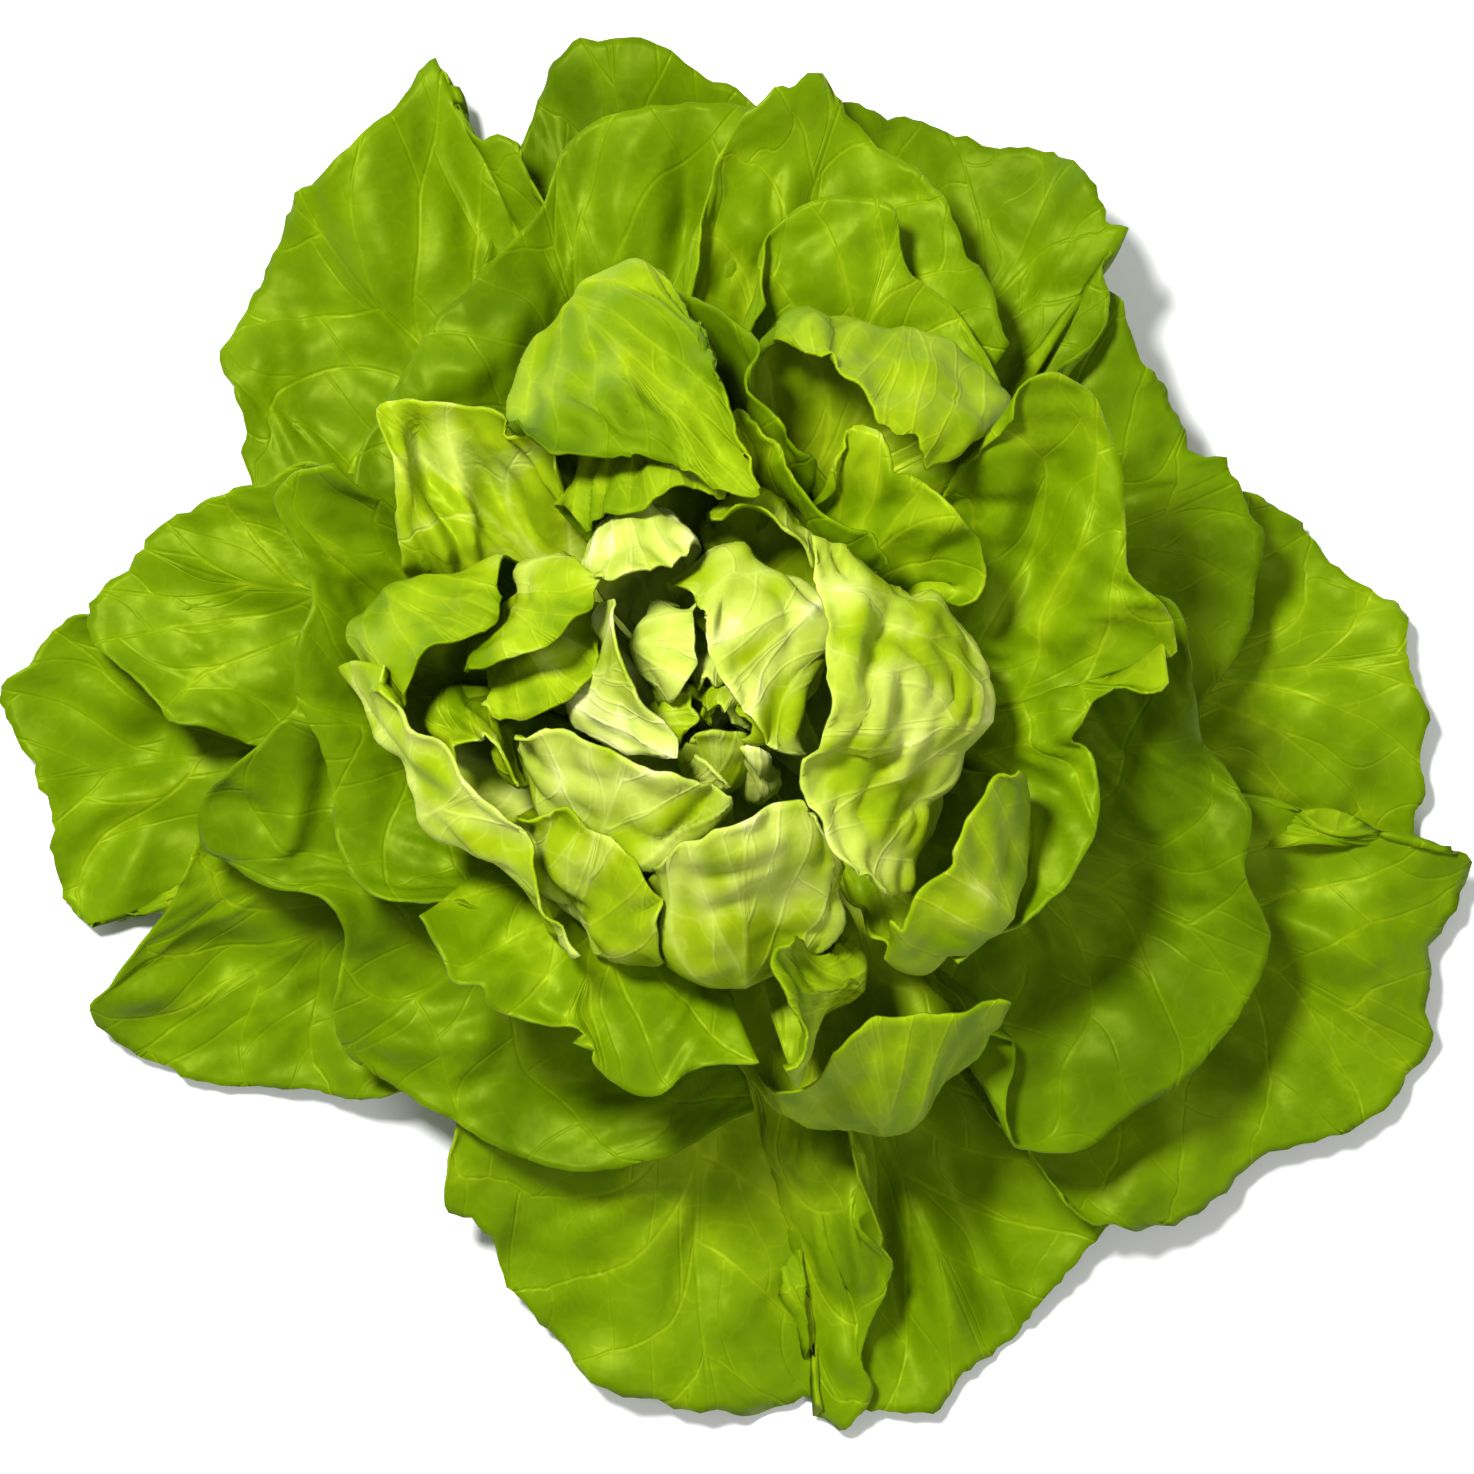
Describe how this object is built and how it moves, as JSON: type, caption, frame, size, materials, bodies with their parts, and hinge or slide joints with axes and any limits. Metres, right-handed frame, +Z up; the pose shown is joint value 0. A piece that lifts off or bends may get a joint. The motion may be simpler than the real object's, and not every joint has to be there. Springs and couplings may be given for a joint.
{
  "type": "butterhead lettuce",
  "caption": "Open butterhead lettuce with spread outer leaves, cupped middle leaves and a hooded pale heart on a short cut stem.",
  "frame": {"origin": "centre of the cut stem's flat bottom face, on the surface the head rests on", "axes": "+Z up the stem, from the cut face to the open heart; +X to the right and +Y to the top of the picture"},
  "size_m": [0.2937, 0.2793, 0.0953],
  "materials": {
    "stem": "cut pale stem flesh",
    "outer_top": "soft satin leaf, slightly waxy",
    "outer_left": "soft satin leaf, slightly waxy",
    "outer_bottom_right": "soft satin leaf, slightly waxy",
    "outer_right": "soft satin leaf, slightly waxy",
    "outer_top_left": "soft satin leaf, slightly waxy",
    "outer_bottom_left": "soft satin leaf, slightly waxy",
    "outer_left_upper": "soft satin leaf, slightly waxy",
    "outer_right_lower": "soft satin leaf, slightly waxy",
    "outer_right_upper": "soft satin leaf, slightly waxy",
    "outer_bottom": "soft satin leaf, slightly waxy",
    "outer_top_right": "soft satin leaf, slightly waxy",
    "top": "soft satin leaf, slightly waxy",
    "top_crinkled": "soft satin leaf, slightly waxy",
    "right_cup": "soft satin leaf, slightly waxy",
    "lower_left": "soft satin leaf, slightly waxy",
    "lower_fold": "soft satin leaf, slightly waxy",
    "left": "soft satin leaf, slightly waxy",
    "top_right_strip": "soft satin leaf, slightly waxy",
    "top_right_hood": "soft satin leaf, slightly waxy",
    "right_wave": "soft satin leaf, slightly waxy",
    "bottom_wave": "soft satin leaf, slightly waxy",
    "curl": "soft satin leaf, slightly waxy",
    "top_valley": "soft satin leaf, slightly waxy",
    "top_cap": "soft satin leaf, slightly waxy",
    "upper_left_wrinkled": "soft satin leaf, slightly waxy",
    "left_hood": "soft satin leaf, slightly waxy",
    "left_lobe": "soft satin leaf, slightly waxy",
    "upper_right_fold": "soft satin leaf, slightly waxy",
    "upper_right_ruffle": "soft satin leaf, slightly waxy",
    "lower_right_hood": "soft satin leaf, slightly waxy",
    "right_heart": "soft satin leaf, slightly waxy",
    "top_inner": "soft satin leaf, slightly waxy",
    "lower_left_small": "soft satin leaf, slightly waxy",
    "left_inner": "soft satin leaf, slightly waxy",
    "bottom_left_inner": "soft satin leaf, slightly waxy",
    "bottom_inner": "soft satin leaf, slightly waxy",
    "left_tuck": "soft satin leaf, slightly waxy",
    "top_flap": "soft satin leaf, slightly waxy",
    "lower_left_heart": "soft satin leaf, slightly waxy",
    "upper_right_heart": "soft satin leaf, slightly waxy",
    "heart_left": "soft satin leaf, slightly waxy",
    "heart_strip": "soft satin leaf, slightly waxy",
    "heart_right": "soft satin leaf, slightly waxy",
    "heart_top": "soft satin leaf, slightly waxy",
    "heart_bottom": "soft satin leaf, slightly waxy",
    "heart_tip": "soft satin leaf, slightly waxy"
  },
  "bodies": {
    "root": {"stem": "stem", "outer_top": "outer_top", "outer_left": "outer_left", "outer_bottom_right": "outer_bottom_right", "outer_right": "outer_right", "outer_top_left": "outer_top_left", "outer_bottom_left": "outer_bottom_left", "outer_left_upper": "outer_left_upper", "outer_right_lower": "outer_right_lower", "outer_right_upper": "outer_right_upper", "outer_bottom": "outer_bottom", "outer_top_right": "outer_top_right", "top": "top", "top_crinkled": "top_crinkled", "right_cup": "right_cup", "lower_left": "lower_left", "lower_fold": "lower_fold", "left": "left", "top_right_strip": "top_right_strip", "top_right_hood": "top_right_hood", "right_wave": "right_wave", "bottom_wave": "bottom_wave", "curl": "curl", "top_valley": "top_valley", "top_cap": "top_cap", "upper_left_wrinkled": "upper_left_wrinkled", "left_hood": "left_hood", "left_lobe": "left_lobe", "upper_right_fold": "upper_right_fold", "upper_right_ruffle": "upper_right_ruffle", "lower_right_hood": "lower_right_hood", "right_heart": "right_heart", "top_inner": "top_inner", "lower_left_small": "lower_left_small", "left_inner": "left_inner", "bottom_left_inner": "bottom_left_inner", "bottom_inner": "bottom_inner", "left_tuck": "left_tuck", "top_flap": "top_flap", "lower_left_heart": "lower_left_heart", "upper_right_heart": "upper_right_heart", "heart_left": "heart_left", "heart_strip": "heart_strip", "heart_right": "heart_right", "heart_top": "heart_top", "heart_bottom": "heart_bottom", "heart_tip": "heart_tip"}
  },
  "joints": []
}
